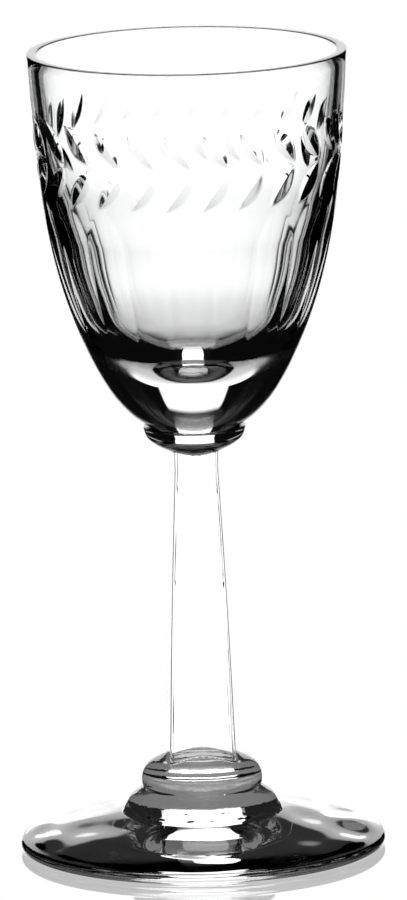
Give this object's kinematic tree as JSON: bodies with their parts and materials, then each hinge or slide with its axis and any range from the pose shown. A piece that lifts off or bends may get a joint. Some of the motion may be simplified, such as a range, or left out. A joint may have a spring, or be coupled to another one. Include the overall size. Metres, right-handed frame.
{
  "type": "liqueur glass",
  "caption": "Small stemmed drinking glass of clear cut crystal: a deep panel-cut cup on a slim square stem, knopped low down, with a thin round foot to stand on.",
  "frame": {"origin": "bottom centre of the round foot, on the surface that the glass stands on", "axes": "+Z upright along the stem to the rim; the stem's front face looks along -Y, turned three degrees"},
  "size_m": [0.0518, 0.0518, 0.114],
  "materials": {
    "clear_crystal": "polished"
  },
  "bodies": {
    "root": {"foot": "clear_crystal", "base_knop": "clear_crystal", "stem_ring": "clear_crystal", "stem": "clear_crystal", "bowl_collar": "clear_crystal", "bowl": "clear_crystal"}
  },
  "joints": []
}
